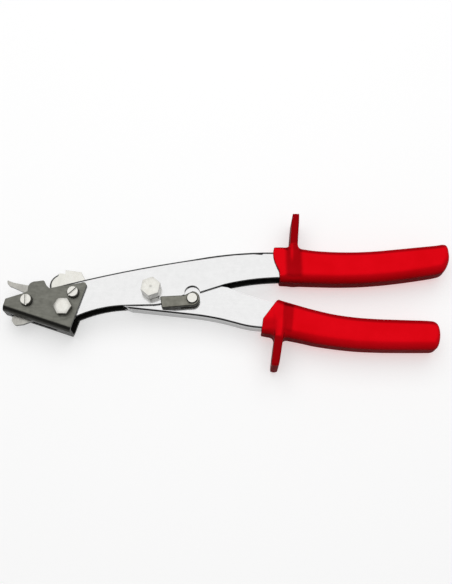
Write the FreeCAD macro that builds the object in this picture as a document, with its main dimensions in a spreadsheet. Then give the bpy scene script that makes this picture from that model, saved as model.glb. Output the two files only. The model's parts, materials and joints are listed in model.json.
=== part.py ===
"""Hand nibbler for sheet metal: two folded steel levers, a folded head with dies and a hooked blade.

The origin is on the main pivot axis, on the plane that the tool lies on. X runs from the head
(negative) to the grip ends, Y runs from the lower grip to the upper grip, and Z is up, along
every pivot axis. Every piece is drawn about the tool's middle plane and lifted by mid_height.
"""
import FreeCAD, Part
import math
import os
import Sketcher

os.makedirs("parts", exist_ok=True)
doc = FreeCAD.newDocument("hand_nibbler")
Vector = FreeCAD.Vector

# ---------------------------------------------------------------- driving dimensions (mm, degrees)
DIMENSIONS = {
    "mid_height": 11.4,          # rest plane to middle plane
    "head_width": 16.4,          # folded head, outside
    "head_sheet": 1.8,
    "head_bend": 3.6,            # outside bend radius
    "lever_width": 12.8,         # upper lever, outside
    "lever_sheet": 1.8,
    "lever_bend": 2.4,
    "arm_width": 8.9,            # lower lever, outside
    "arm_sheet": 1.6,
    "arm_bend": 2.0,
    "blade_thick": 2.4,
    "blade_gap": 2.8,            # between the two dies
    "chip_slot_width": 4.0,
    "head_bolt_x": -53.8,
    "head_bolt_y": -11.6,
    "die_screw_x": -76.6,
    "die_screw_y": -7.2,
    "holder_screw_x": -48.1,
    "holder_screw_y": -2.2,
    "blade_pin_x": -55.5,
    "blade_pin_y": 0.5,
    "arm_pin_x": -1.2,
    "arm_pin_y": 8.4,
    "stop_pin_x": -16.5,
    "stop_pin_y": -3.9,
    "latch_pin_x": 25.4,
    "latch_pin_y": -6.1,
    "bolt_radius": 3.0,          # M6
    "bolt_flats": 10.0,
    "pivot_bolt_flats": 11.0,
    "bolt_hole": 3.05,
    "head_bolt_head": 4.0,
    "pivot_bolt_head": 8.4,
    "thin_nut": 3.2,
    "pivot_washer_thick": 1.8,
    "screw_radius": 2.0,         # M4
    "screw_hole": 2.06,
    "screw_head_radius": 3.55,
    "screw_head": 2.3,
    "slot_width": 1.1,
    "slot_depth": 1.1,
    "lock_washer_thick": 0.9,
    "lock_washer_radius": 3.85,
    "small_nut_flats": 7.0,
    "bush_radius": 4.0,
    "bush_hole": 4.05,
    "spacer_radius": 6.0,
    "tube_radius": 2.8,
    "link_thick": 1.1,
    "link_inset": 1.35,          # middle plane to the near face of a link
    "link_pin_radius": 1.8,
    "link_bore": 1.85,
    "blade_pin_bore": 1.9,
    "stop_pin_radius": 2.0,
    "latch_pin_radius": 2.6,
    "latch_head_radius": 3.4,
    "latch_bore": 2.66,
    "latch_back": 6.7,           # middle plane to the latch's back face
    "latch_thick": 2.6,
    "latch_lip_depth": 1.9,
    "latch_round": 0.5,
    "spring_wire": 0.9,
    "spring_radius": 4.55,       # centre of the wire
    "spring_pitch": 0.92,
    "spring_turns": 4.0,
    "spring_stop_heading": -11.2,   # way the wire runs along the stop pin and on to the coil
    "spring_stop_leg": 17.0,
    "spring_lever_heading": -31.5,  # way it leaves the coil for the lower lever
    "spring_lever_leg": 15.5,
    "grip_width": 20.0,
    "guard_width": 22.0,
    "grip_round": 5.5,
    "guard_round": 1.6,
    "fit_gap": 0.05,
}

sheet = doc.addObject("Spreadsheet::Sheet", "Dimensions")
for row, (alias, number) in enumerate(DIMENSIONS.items(), start=1):
    sheet.set("A%d" % row, alias)
    sheet.set("B%d" % row, str(number))
    sheet.setAlias("B%d" % row, alias)
doc.recompute()


def size(alias):
    """A driving dimension, read back from the sheet."""
    return float(sheet.get(alias))


def cell(formula):
    """A formula of sheet aliases as an expression: every word is an alias."""
    words = formula.replace("(", " ( ").replace(")", " ) ").split()
    return " ".join("Dimensions." + word if word[0].isalpha() else word for word in words)


# ---------------------------------------------------------------- sketch and feature helpers
def arc_through(start, middle, end):
    """Arc from start through middle to end."""
    return Part.Arc(Vector(*start, 0), Vector(*middle, 0), Vector(*end, 0))


def smooth_middle(start, heading, end):
    """Middle point of the arc that leaves start along heading and ends at end."""
    chord = Vector(end[0] - start[0], end[1] - start[1], 0)
    turn = math.atan2(chord.y, chord.x) - heading
    turn = math.atan2(math.sin(turn), math.cos(turn))
    sagitta = 0.5 * chord.Length * math.tan(turn / 2)
    side = Vector(chord.y, -chord.x, 0).normalize()
    middle = Vector(start[0], start[1], 0) + chord * 0.5 + side * sagitta
    return (middle.x, middle.y), heading + 2 * turn


def outline(sketch, start, steps):
    """Closed outline in a sketch. A step is (x, y) for a line, (x1, y1, x2, y2) for an arc
    through a middle point, or ("smooth", x, y) for an arc tangent to what comes before it."""
    here = start
    heading = 0.0
    for step in list(steps) + [start]:
        if step[0] == "smooth":
            end = step[1:]
            middle, heading = smooth_middle(here, heading, end)
            sketch.addGeometry(arc_through(here, middle, end), False)
        elif len(step) == 4:
            end = step[2:]
            curve = arc_through(here, step[:2], end)
            sketch.addGeometry(curve, False)
            arc = curve.toShape()
            leaving = arc.tangentAt(arc.LastParameter)
            if arc.valueAt(arc.LastParameter).distanceToPoint(Vector(*end, 0)) > 1e-6:
                leaving = arc.tangentAt(arc.FirstParameter) * -1
            heading = math.atan2(leaving.y, leaving.x)
        else:
            end = step
            if math.dist(here, end) < 1e-6:
                continue
            sketch.addGeometry(Part.LineSegment(Vector(*here, 0), Vector(*end, 0)), False)
            heading = math.atan2(end[1] - here[1], end[0] - here[0])
        here = end


def hole_circle(sketch, name, x, y, radius):
    """A circle whose centre and radius are bound to the sheet."""
    place = Vector(size(x), size(y), 0)
    index = sketch.addGeometry(Part.Circle(place, Vector(0, 0, 1), size(radius)), False)
    centre = 3
    origin = -1
    bindings = (
        ("DistanceX", (origin, 1, index, centre, place.x), x),
        ("DistanceY", (origin, 1, index, centre, place.y), y),
        ("Radius", (index, size(radius)), radius),
    )
    for kind, arguments, alias in bindings:
        constraint = sketch.addConstraint(Sketcher.Constraint(kind, *arguments))
        label = name + kind
        sketch.renameConstraint(constraint, label)
        sketch.setExpression("Constraints." + label, cell(alias))


def new_body(label):
    """An empty body on the tool's middle plane."""
    body = doc.addObject("PartDesign::Body", label)
    body.Label = label
    body.setExpression("Placement.Base.z", cell("mid_height"))
    return body


def new_sketch(body, name, start=None, steps=(), lift=None):
    """A sketch on the body's own middle plane, lifted off it by a formula if given."""
    sketch = body.newObject("Sketcher::SketchObject", body.Label + "_" + name)
    base = next(item for item in body.Origin.OriginFeatures if item.Role == "XY_Plane")
    sketch.AttachmentSupport = [(base, "")]
    sketch.MapMode = "FlatFace"
    if lift:
        sketch.setExpression(".AttachmentOffset.Base.z", cell(lift))
    if start:
        outline(sketch, start, steps)
    return sketch


def extrude(body, kind, sketch, length, symmetric=True, back=False):
    """A pad or pocket of a sketch, its length a formula of the sheet."""
    feature = body.newObject("PartDesign::" + kind, sketch.Name + "_" + kind.lower())
    feature.Profile = sketch
    feature.Type = "Length"
    feature.SideType = "Symmetric" if symmetric else "One side"
    feature.Reversed = back
    feature.setExpression("Length", cell(length))
    doc.recompute()
    return feature


def pad(body, sketch, length, **options):
    """Material from a sketch."""
    return extrude(body, "Pad", sketch, length, **options)


def pocket(body, sketch, length, **options):
    """A cut from a sketch, which has to remove material."""
    before = body.Shape.Volume
    feature = extrude(body, "Pocket", sketch, length, **options)
    if body.Shape.Volume > before - 0.5:
        raise RuntimeError(sketch.Name + " cuts nothing")
    return feature


def drill(body, holes, length="guard_width", **options):
    """Round holes through the body, each (name, x alias, y alias, radius alias)."""
    sketch = new_sketch(body, "holes", lift=options.pop("lift", None))
    for name, x, y, radius in holes:
        hole_circle(sketch, name, x, y, radius)
    return pocket(body, sketch, length, **options)


def drill_pivot(body, radius):
    """Hole for the main pivot, on the body's own origin."""
    sketch = new_sketch(body, "pivot")
    sketch.addGeometry(Part.Circle(Vector(0, 0, 0), Vector(0, 0, 1), size(radius)), False)
    sketch.addConstraint(Sketcher.Constraint("Coincident", 0, 3, -1, 1))
    bound = sketch.addConstraint(Sketcher.Constraint("Radius", 0, size(radius)))
    sketch.setExpression("Constraints[%d]" % bound, cell(radius))
    pocket(body, sketch, "guard_width")


def round_edges(body, radius, wanted, kind="Fillet"):
    """Round or bevel the edges of the body that the test picks."""
    base = body.Tip
    names = ["Edge%d" % (i + 1) for i, edge in enumerate(base.Shape.Edges) if wanted(edge)]
    feature = body.newObject("PartDesign::" + kind, "%s_%s_%d" % (body.Label, kind.lower(), len(names)))
    feature.Base = (base, names)
    feature.setExpression("Size" if kind == "Chamfer" else "Radius", cell(radius))
    doc.recompute()
    if "Up-to-date" not in feature.State or body.Shape.isNull() or not body.Shape.Solids:
        raise RuntimeError("%s: %s over %d edges failed" % (body.Label, kind, len(names)))
    return feature


def flat_edges(heights, keep):
    """Test for edges that lie flat at one of the heights and whose middle (x, y) is kept."""
    def wanted(edge):
        bounds = edge.BoundBox
        level = bounds.ZLength < 1e-4 and any(abs(bounds.ZMin - height) < 1e-3 for height in heights)
        return level and keep(bounds.Center.x, bounds.Center.y)
    return wanted


def both_faces(width):
    """Heights of the two faces of something this wide, centred on the middle plane."""
    return (-width / 2, width / 2)


# ---------------------------------------------------------------- primitive helpers for round pieces
def placed(feature, x, y, bottom, turn=0.0):
    """Put a primitive's base at (x, y) and at a height, all formulas; turn is about Z."""
    feature.Placement.Rotation = FreeCAD.Rotation(Vector(0, 0, 1), turn)
    feature.setExpression("Placement.Base.x", cell(x))
    feature.setExpression("Placement.Base.y", cell(y))
    feature.setExpression("Placement.Base.z", cell("mid_height + ( %s )" % bottom))
    return feature


def cylinder(name, x, y, bottom, height, radius):
    """Upright cylinder."""
    feature = doc.addObject("Part::Cylinder", name)
    feature.setExpression("Height", cell(height))
    feature.setExpression("Radius", cell(radius))
    return placed(feature, x, y, bottom)


def hexagon(name, x, y, bottom, height, flats, turn):
    """Upright hexagonal prism with its corners turned off above and below."""
    corner = "( %s ) / %.6f" % (flats, math.sqrt(3))
    prism = doc.addObject("Part::Prism", name + "_prism")
    prism.Polygon = 6
    prism.setExpression("Circumradius", cell(corner))
    prism.setExpression("Height", cell(height))
    placed(prism, x, y, bottom, turn)
    turned = cylinder(name + "_turned", x, y, bottom, height, corner + " * 1.01")
    rounded = doc.addObject("Part::Chamfer", name + "_corners")
    rounded.Base = turned
    doc.recompute()
    low = turned.Shape.BoundBox.ZMin
    sizes = [(0.45, 0.9) if edge.BoundBox.ZMin < low + 1e-3 else (0.9, 0.45)
             for edge in turned.Shape.Edges]
    rounded.Edges = [(i + 1, *sizes[i]) for i, edge in enumerate(turned.Shape.Edges)
                     if edge.BoundBox.ZLength < 1e-4]
    both = doc.addObject("Part::Common", name)
    both.Base = prism
    both.Tool = rounded
    return both


def boolean(kind, label, base, tool):
    """Part::Cut or Part::Fuse of two objects, under the sub-part's own label."""
    feature = doc.addObject("Part::" + kind, label)
    feature.Label = label
    feature.Base = base
    feature.Tool = tool
    return feature


def ring(label, x, y, bottom, height, outer, inner):
    """Washer, spacer, bush or tube."""
    disc = cylinder(label + "_disc", x, y, bottom, height, outer)
    bore = cylinder(label + "_bore", x, y, bottom, height, inner)
    return boolean("Cut", label, disc, bore)


def group(label, members):
    """Identical pieces that share one node as separate solids."""
    feature = doc.addObject("Part::Compound", label)
    feature.Label = label
    feature.Links = members
    return feature


# ---------------------------------------------------------------- levers
def upper_lever():
    """Chromed channel, open below, and open above as well between the pivot and the head."""
    body = new_body("upper_lever")
    handle = new_sketch(body, "handle", (27.6, 6.0), [
        (27.6, 21.4), (52.7, 24.9, 75.7, 25.8), ("smooth", 104.0, 24.2), ("smooth", 127.0, 23.0),
        ("smooth", 172.0, 25.6), (172.0, 14.6), (148.0, 9.9, 122.0, 8.2), (84.0, 8.7),
        ("smooth", 45.4, 4.2), (30.1, -0.9)])
    pad(body, handle, "lever_width")
    outside = both_faces(size("lever_width"))
    round_edges(body, "lever_bend", flat_edges(outside, lambda x, y: x < 171 and y > 19))
    cheeks = new_sketch(body, "cheeks", (-63.4, 1.6), [
        (-20.3, 12.3, 28.4, 21.1), (28.4, 5.0), (30.1, -0.9), (25.2, 3.1, 20.4, -2.6), (9.5, -7.2),
        ("smooth", -1.0, -9.1), (-15.7, -9.4), ("smooth", -43.7, -15.4), (-50.5, -18.4), (-61.5, -16.0)])
    pad(body, cheeks, "lever_width")
    inside = new_sketch(body, "inside", (-70.0, -25.0), [
        (-70.0, 30.0), (27.6, 30.0), (27.6, 19.8), (52.7, 23.1, 75.7, 24.0), ("smooth", 104.0, 22.4),
        ("smooth", 127.0, 21.2), ("smooth", 180.0, 24.4), (180.0, -25.0)])
    pocket(body, inside, "lever_width - lever_sheet - lever_sheet")
    drill(body, [("head", "head_bolt_x", "head_bolt_y", "bolt_hole"),
                 ("holder", "holder_screw_x", "holder_screw_y", "screw_hole")])
    drill_pivot(body, "bolt_hole")


def lower_lever():
    """Chromed channel, open above, nested in the upper lever and turning on the pivot bush."""
    body = new_body("lower_lever")
    side = new_sketch(body, "side", (-12.0, -11.8), [
        (25.0, -15.9), ("smooth", 53.0, -21.6), ("smooth", 70.0, -24.3), (90.0, -27.4), (111.0, -31.9),
        ("smooth", 132.0, -33.5), (166.0, -33.9), (166.0, -22.2), (149.0, -21.3), ("smooth", 117.0, -18.4),
        (87.7, -10.9), (72.8, -6.7), ("smooth", 47.3, 2.4), (24.0, 6.4), (2.6, 9.4),
        (-1.4, 11.6, -4.4, 7.8), (-11.4, -1.6), (-13.6, -6.0), (-18.2, -6.0), (-18.6, -8.6)])
    pad(body, side, "arm_width")

    def beside_web(x, y):
        return 0 < x < 165 and y < -13 - 0.16 * max(0, x - 30)
    round_edges(body, "arm_bend", flat_edges(both_faces(size("arm_width")), beside_web))
    inside = new_sketch(body, "inside", (-25.0, -10.3), [
        (-12.0, -10.2), (25.0, -14.3), ("smooth", 53.0, -20.0), ("smooth", 70.0, -22.7), (90.0, -25.8),
        (111.0, -30.3), ("smooth", 132.0, -31.9), (172.0, -32.3), (172.0, 20.0), (-25.0, 20.0)])
    pocket(body, inside, "arm_width - arm_sheet - arm_sheet")
    drill_pivot(body, "bush_hole")
    drill(body, [("link", "arm_pin_x", "arm_pin_y", "link_pin_radius")])
    latch = new_sketch(body, "latch_hole")
    hole_circle(latch, "latch", "latch_pin_x", "latch_pin_y", "latch_pin_radius")
    pocket(body, latch, "arm_width", symmetric=False, back=True)


# ---------------------------------------------------------------- head
def die_holder():
    """Blackened head folded from one sheet, with a hump on each cheek and a chip slot below."""
    body = new_body("die_holder")
    nose_low = (-91.5, -12.8)
    rear_low = (-49.4, -26.9)
    side = new_sketch(body, "side", nose_low, [
        (-89.9, -6.4), (-89.5, -5.9, -88.9, -5.7), (-79.4, -2.6), (-76.5, -1.2), (-76.3, 2.2),
        (-74.9, 4.2, -71.9, 5.2), (-67.6, 5.8), (-66.9, 5.7, -66.4, 5.1), (-65.3, 2.9), (-63.2, 0.8),
        (-43.6, 4.3), (-41.0, 4.2, -40.5, 1.9), rear_low])
    pad(body, side, "head_width")
    slope = (rear_low[1] - nose_low[1]) / (rear_low[0] - nose_low[0])
    rise = size("head_sheet") / math.cos(math.atan(slope))

    def floor_line(x):
        return nose_low[1] + slope * (x - nose_low[0]) + rise
    inside = new_sketch(body, "inside", (-96.0, floor_line(-96.0)), [
        (-35.0, floor_line(-35.0)), (-35.0, 12.0), (-96.0, 12.0)])
    pocket(body, inside, "head_width - head_sheet - head_sheet")

    def beside_fold(x, y):
        return y < -15
    outside = both_faces(size("head_width"))
    round_edges(body, "head_bend", flat_edges(outside, beside_fold))
    inside = both_faces(size("head_width") - 2 * size("head_sheet"))
    round_edges(body, "head_bend - head_sheet", flat_edges(inside, beside_fold))
    slot = new_sketch(body, "chip_slot", (-87.4, -20.0), [
        (-87.4, -10.0), (-58.5, -10.0), (-58.5, -30.0)])
    pocket(body, slot, "chip_slot_width")
    drill(body, [("head", "head_bolt_x", "head_bolt_y", "bolt_hole"),
                 ("die", "die_screw_x", "die_screw_y", "screw_hole"),
                 ("holder", "holder_screw_x", "holder_screw_y", "screw_hole")])


def die(label, rear):
    """Hardened cutting die: a plate in the nose, one on each side of the blade."""
    body = new_body(label)
    near = "blade_gap / 2"
    plate = new_sketch(body, "side", (-89.4, -9.7), [
        (-88.6, -6.2), (-79.4, -3.0), (-76.8, -1.8), (-72.5, -1.0), (-66.6, -2.6), (-66.6, -17.2)],
        lift="- ( %s )" % near if rear else near)
    thick = "head_width / 2 - head_sheet - blade_gap / 2 - fit_gap"
    pad(body, plate, thick, symmetric=False, back=rear)
    drill(body, [("screw", "die_screw_x", "die_screw_y", "screw_hole")])


def blade():
    """Hooked blade: beak above the nose, hub on the head bolt, lobe on top and a heel below."""
    body = new_body("blade")
    hub_x = size("head_bolt_x")
    hub_y = size("head_bolt_y")
    hub = 7.4
    side = new_sketch(body, "side", (-91.3, 8.3), [
        (-90.9, 5.6, -89.2, 4.2), ("smooth", -81.8, 0.9), (-79.8, -0.6, -79.2, -3.0), (-79.2, -11.6),
        (-84.4, -14.3), (-86.6, -16.6, -85.6, -19.6), (-84.6, -20.8, -82.6, -20.9), (-79.3, -20.5),
        (-72.0, -17.6), (-62.0, -17.4), (hub_x, hub_y - hub),
        (hub_x + hub, hub_y, hub_x + 2.6, hub_y + 6.93), (-52.0, -2.0), (-52.6, 9.6),
        (-55.4, 12.4, -59.2, 12.6), (-63.8, 9.2, -64.9, 3.8), (-65.4, 0.2), (-68.0, 0.6),
        (-70.4, 3.0, -73.4, 4.2), (-78.7, 5.0), (-85.1, 6.2), ("smooth", -91.3, 8.3)])
    pad(body, side, "blade_thick")
    drill(body, [("hub", "head_bolt_x", "head_bolt_y", "bolt_hole"),
                 ("pin", "blade_pin_x", "blade_pin_y", "link_pin_radius")])


def push_link(label, rear):
    """Flat link from the lower lever to the blade, with a raised tab at its front end."""
    body = new_body(label)
    plate = new_sketch(body, "side", (-58.6, 0.5), [
        (-55.5, -2.6, -52.9, -1.2), (-50.6, 1.4), (-46.0, 1.7), (-5.6, 6.5), (-3.4, 6.2),
        (1.8, 7.6, -2.3, 11.3), (-6.0, 10.2), (-42.4, 5.3), (-42.6, 8.6), (-44.9, 13.2),
        (-55.0, 14.7), (-55.2, 3.6), (-57.4, 3.1, -58.6, 0.5)],
        lift="- link_inset" if rear else "link_inset")
    pad(body, plate, "link_thick", symmetric=False, back=rear)
    drill(body, [("front", "blade_pin_x", "blade_pin_y", "blade_pin_bore"),
                 ("back", "arm_pin_x", "arm_pin_y", "link_bore")])


# ---------------------------------------------------------------- bolts, screws and pins
def hex_bolt(label, x, y, seat, head, flats, turn):
    """M6 bolt: a head above its seat and a shank down to the rest plane."""
    top = hexagon(label + "_head", x, y, seat, head, flats, turn)
    reach = "mid_height + ( %s ) + 1" % seat
    shank = cylinder(label + "_shank", x, y, "- mid_height", reach, "bolt_radius")
    return boolean("Fuse", label, top, shank)


def hex_nut(label, x, y, bottom, height, flats, hole, turn):
    """Hexagonal nut."""
    block = hexagon(label + "_block", x, y, bottom, height, flats, turn)
    bore = cylinder(label + "_bore", x, y, bottom, height, hole)
    return boolean("Cut", label, block, bore)


def slotted_screw(label, x, y, end, slot_turn, rear=False):
    """M4 cheese-head screw with a slot; a rear one points the other way."""
    seat = "head_width / 2 + lock_washer_thick"
    head = cylinder(label + "_head", x, y, "- ( %s ) - screw_head" % seat if rear else seat,
                    "screw_head", "screw_head_radius")
    overlap = "screw_head / 4"
    length = "( %s ) - ( %s ) + %s" % (seat, end, overlap)
    shank = cylinder(label + "_shank", x, y, "- ( %s ) - %s" % (seat, overlap) if rear else end,
                     length, "screw_radius")
    solid = boolean("Fuse", label + "_solid", head, shank)
    doc.recompute()
    bounds = solid.Shape.BoundBox
    face = bounds.ZMin if rear else bounds.ZMax
    rim = doc.addObject("Part::Chamfer", label + "_rim")
    rim.Base = solid
    rim.Edges = [(i + 1, 0.35, 0.35) for i, edge in enumerate(solid.Shape.Edges)
                 if edge.BoundBox.ZLength < 1e-4 and abs(edge.BoundBox.ZMin - face) < 1e-3]
    slot = doc.addObject("Part::Box", label + "_slot")
    slot.setExpression("Length", cell("3 * screw_head_radius"))
    slot.setExpression("Width", cell("slot_width"))
    slot.setExpression("Height", cell("slot_depth"))
    doc.recompute()
    turn = FreeCAD.Rotation(Vector(0, 0, 1), slot_turn)
    corner = turn.multVec(Vector(-slot.Length.Value / 2, -slot.Width.Value / 2, 0))
    bottom = face if rear else face - size("slot_depth")
    slot.Placement = FreeCAD.Placement(Vector(size(x), size(y), bottom) + corner, turn)
    return boolean("Cut", label, rim, slot)


def pivot_set():
    """Main pivot: bolt, washer and thin nut, with the bush that the lower lever turns on."""
    hex_bolt("pivot_bolt", "0", "0", "lever_width / 2", "pivot_bolt_head", "pivot_bolt_flats", 20.0)
    ring("pivot_washer", "0", "0", "- lever_width / 2 - pivot_washer_thick", "pivot_washer_thick",
         "spacer_radius", "bolt_hole")
    hex_nut("pivot_nut", "0", "0", "- mid_height", "thin_nut", "bolt_flats", "bolt_hole", 10.0)
    inner = "lever_width / 2 - lever_sheet - fit_gap"
    ring("pivot_bush", "0", "0", "- ( %s )" % inner, "2 * ( %s )" % inner, "bush_radius", "bolt_hole")


def head_set():
    """Blade pivot: bolt and nut, with a spacer on each side of the blade."""
    hex_bolt("head_bolt", "head_bolt_x", "head_bolt_y", "head_width / 2", "head_bolt_head",
             "bolt_flats", 0.0)
    hex_nut("head_nut", "head_bolt_x", "head_bolt_y", "- mid_height", "thin_nut", "bolt_flats",
            "bolt_hole", 8.0)
    inner = "lever_width / 2 - lever_sheet - fit_gap"
    near = "blade_thick / 2 + fit_gap"
    depth = "( %s ) - ( %s )" % (inner, near)
    group("blade_spacers", [
        ring("blade_spacer_front", "head_bolt_x", "head_bolt_y", near, depth, "spacer_radius", "bolt_hole"),
        ring("blade_spacer_rear", "head_bolt_x", "head_bolt_y", "- ( %s )" % inner, depth,
             "spacer_radius", "bolt_hole")])


def screw_set():
    """Slotted screws: one for each die, and one that ties the head to the upper lever."""
    end = "blade_gap / 2 + 0.4"
    seat = "head_width / 2"
    group("die_screws", [
        slotted_screw("die_screw_front", "die_screw_x", "die_screw_y", end, 92.0),
        slotted_screw("die_screw_rear", "die_screw_x", "die_screw_y", end, 30.0, rear=True)])
    places = (("front", "die_screw_x", "die_screw_y", seat),
              ("rear", "die_screw_x", "die_screw_y", "- ( %s ) - lock_washer_thick" % seat),
              ("holder", "holder_screw_x", "holder_screw_y", seat))
    group("lock_washers", [
        ring("lock_washer_" + name, x, y, bottom, "lock_washer_thick", "lock_washer_radius", "screw_hole")
        for name, x, y, bottom in places])
    slotted_screw("holder_screw", "holder_screw_x", "holder_screw_y", "- mid_height", 43.0)
    hex_nut("holder_nut", "holder_screw_x", "holder_screw_y", "- mid_height", "thin_nut",
            "small_nut_flats", "screw_hole", 15.0)
    inner = "lever_width / 2 - lever_sheet - fit_gap"
    ring("holder_tube", "holder_screw_x", "holder_screw_y", "- ( %s )" % inner, "2 * ( %s )" % inner,
         "tube_radius", "screw_hole")


def pin_set():
    """Plain pins: the two ends of the push links, and the stop that the lower lever opens against."""
    link_reach = "link_inset + link_thick + 0.2"
    reaches = (("blade_pin", "blade_pin_x", "blade_pin_y", link_reach, "link_pin_radius"),
               ("arm_pin", "arm_pin_x", "arm_pin_y", "arm_width / 2 - fit_gap", "link_pin_radius"),
               ("stop_pin", "stop_pin_x", "stop_pin_y", "lever_width / 2 - lever_sheet", "stop_pin_radius"))
    for label, x, y, reach, radius in reaches:
        pin = cylinder(label, x, y, "- ( %s )" % reach, "2 * ( %s )" % reach, radius + " - fit_gap / 5")
        pin.Label = label


# ---------------------------------------------------------------- latch
def latch_set():
    """Latch plate with an inward lip, its headed pin in the lower lever, and the ring between them."""
    body = new_body("latch")
    pin_x = size("latch_pin_x")
    pin_y = size("latch_pin_y")
    eye = 4.6
    plate = new_sketch(body, "side", (5.7, -5.5), [
        (6.6, -10.7), (6.9, -11.8, 8.2, -12.1), (20.6, -11.0), (pin_x, pin_y - eye),
        (pin_x + eye, pin_y, pin_x, pin_y + eye), (20.4, -4.1), (6.4, -4.8)], lift="latch_back")
    pad(body, plate, "latch_thick", symmetric=False)
    lip = new_sketch(body, "lip", (8.4, -12.1), [
        (8.4, -10.3), (18.6, -9.4), (18.6, -11.2)], lift="latch_back")
    pad(body, lip, "latch_lip_depth", symmetric=False, back=True)
    drill(body, [("pin", "latch_pin_x", "latch_pin_y", "latch_bore")])
    front = size("latch_back") + size("latch_thick")
    round_edges(body, "latch_round", flat_edges((front,), lambda x, y: x < 24.6))
    inner = "arm_width / 2 - arm_sheet"
    outer = "latch_back + latch_thick"
    shank = cylinder("latch_pin_shank", "latch_pin_x", "latch_pin_y", inner,
                     "%s - ( %s ) + 0.5" % (outer, inner), "latch_pin_radius - fit_gap / 5")
    head = cylinder("latch_pin_head", "latch_pin_x", "latch_pin_y", outer + " + 0.1", "1.2",
                    "latch_head_radius")
    boolean("Fuse", "latch_pin", shank, head)
    ring("latch_ring", "latch_pin_x", "latch_pin_y", "arm_width / 2 + fit_gap",
         "latch_back - arm_width / 2 - 2 * fit_gap", "latch_head_radius + 0.2", "latch_bore")


# ---------------------------------------------------------------- return spring
def return_spring():
    """Torsion spring round the bush: one leg on the stop pin, the other in the lower lever."""
    stop_heading = size("spring_stop_heading")
    turns = size("spring_turns") + (size("spring_lever_heading") - stop_heading) / 360
    width = size("spring_pitch") * turns
    helix = Part.makeHelix(size("spring_pitch"), width, size("spring_radius"))
    helix.Placement = FreeCAD.Placement(
        Vector(0, 0, -width / 2), FreeCAD.Rotation(Vector(0, 0, 1), stop_heading - 90))
    coil = helix.Edges[0]
    start = coil.valueAt(coil.FirstParameter)
    end = coil.valueAt(coil.LastParameter)
    heading = coil.tangentAt(coil.FirstParameter)
    stop_tip = start - heading * size("spring_stop_leg")
    lever_tip = end + coil.tangentAt(coil.LastParameter) * size("spring_lever_leg")
    stop_leg = Part.LineSegment(stop_tip, start).toShape()
    lever_leg = Part.LineSegment(end, lever_tip).toShape()
    path = Part.Wire([stop_leg, coil, lever_leg])
    circle = Part.Wire(Part.Circle(stop_tip, heading, size("spring_wire") / 2).toShape())
    feature = doc.addObject("Part::Feature", "return_spring")
    feature.Label = "return_spring"
    feature.Shape = path.makePipeShell([circle], True, True)
    feature.Placement = FreeCAD.Placement(Vector(0, 0, size("mid_height")), FreeCAD.Rotation())


# ---------------------------------------------------------------- grips
def grip(label, side, guard, cavity, cavity_width):
    """Moulded grip pushed over a lever's end, with a finger guard near its front end."""
    body = new_body(label)
    pad(body, new_sketch(body, "side", *side), "grip_width")

    def behind_collar(x, y):
        return x > 80 or y < -26.5
    round_edges(body, "grip_round", flat_edges(both_faces(size("grip_width")), behind_collar))
    pad(body, new_sketch(body, "guard", *guard), "guard_width")

    def outside_grip(x, y):
        return not -28 < y < 31
    round_edges(body, "guard_round", flat_edges(both_faces(size("guard_width")), outside_grip))
    pocket(body, new_sketch(body, "cavity", *cavity), cavity_width)


def grips():
    """Upper and lower grip."""
    grip("upper_grip",
         ((79.9, 6.5), [
             (112.0, 5.5), ("smooth", 178.0, 12.4), ("smooth", 186.6, 21.9), ("smooth", 179.4, 30.1),
             ("smooth", 143.8, 26.3), ("smooth", 106.1, 26.6), ("smooth", 76.6, 28.9), (75.8, 24.6),
             (76.7, 18.6, 79.3, 12.6)]),
         ((86.2, 9.0), [(86.4, 30.0), (88.4, 48.4), (90.6, 50.8, 92.8, 48.4), (91.5, 30.0), (91.0, 9.0)]),
         ((70.0, 25.934), [
             (75.7, 25.9), ("smooth", 104.0, 24.3), ("smooth", 127.0, 23.1), ("smooth", 172.1, 25.7),
             (172.1, 14.5), (148.0, 9.8, 122.0, 8.1), (84.0, 8.6), (70.0, 7.4)]),
         "lever_width + fit_gap + fit_gap")
    grip("lower_grip",
         ((67.3, -26.0), [
             (96.0, -31.2), ("smooth", 132.0, -36.0), ("smooth", 170.0, -36.4), ("smooth", 178.4, -28.0),
             ("smooth", 171.5, -19.8), ("smooth", 149.2, -18.9), ("smooth", 117.0, -15.9),
             ("smooth", 87.7, -8.4), ("smooth", 78.6, -6.0), (68.9, -18.4), (68.6, -21.0)]),
         ((79.4, -24.0), [
             (77.0, -27.0), (73.4, -46.9), (75.2, -49.1, 77.9, -47.6), (81.4, -27.0), (83.4, -24.0)]),
         ((60.0, -24.4), [
             (70.0, -24.4), (90.0, -27.5), (111.0, -32.0), ("smooth", 132.0, -33.6), (166.1, -34.0),
             (166.1, -22.1), (149.0, -21.2), ("smooth", 117.0, -18.3), (87.7, -10.8), (60.0, -2.8)]),
         "arm_width + fit_gap + fit_gap")


upper_lever()
lower_lever()
die_holder()
die("front_die", rear=False)
die("rear_die", rear=True)
blade()
push_link("front_link", rear=False)
push_link("rear_link", rear=True)
pivot_set()
head_set()
screw_set()
pin_set()
latch_set()
return_spring()
grips()

NODES = (
    "upper_lever", "lower_lever", "upper_grip", "lower_grip", "die_holder", "front_die", "rear_die",
    "blade", "front_link", "rear_link", "pivot_bolt", "pivot_washer", "pivot_nut", "pivot_bush",
    "head_bolt", "head_nut", "blade_spacers", "die_screws", "lock_washers", "holder_screw",
    "holder_nut", "holder_tube", "blade_pin", "arm_pin", "stop_pin", "latch", "latch_pin",
    "latch_ring", "return_spring",
)

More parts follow.
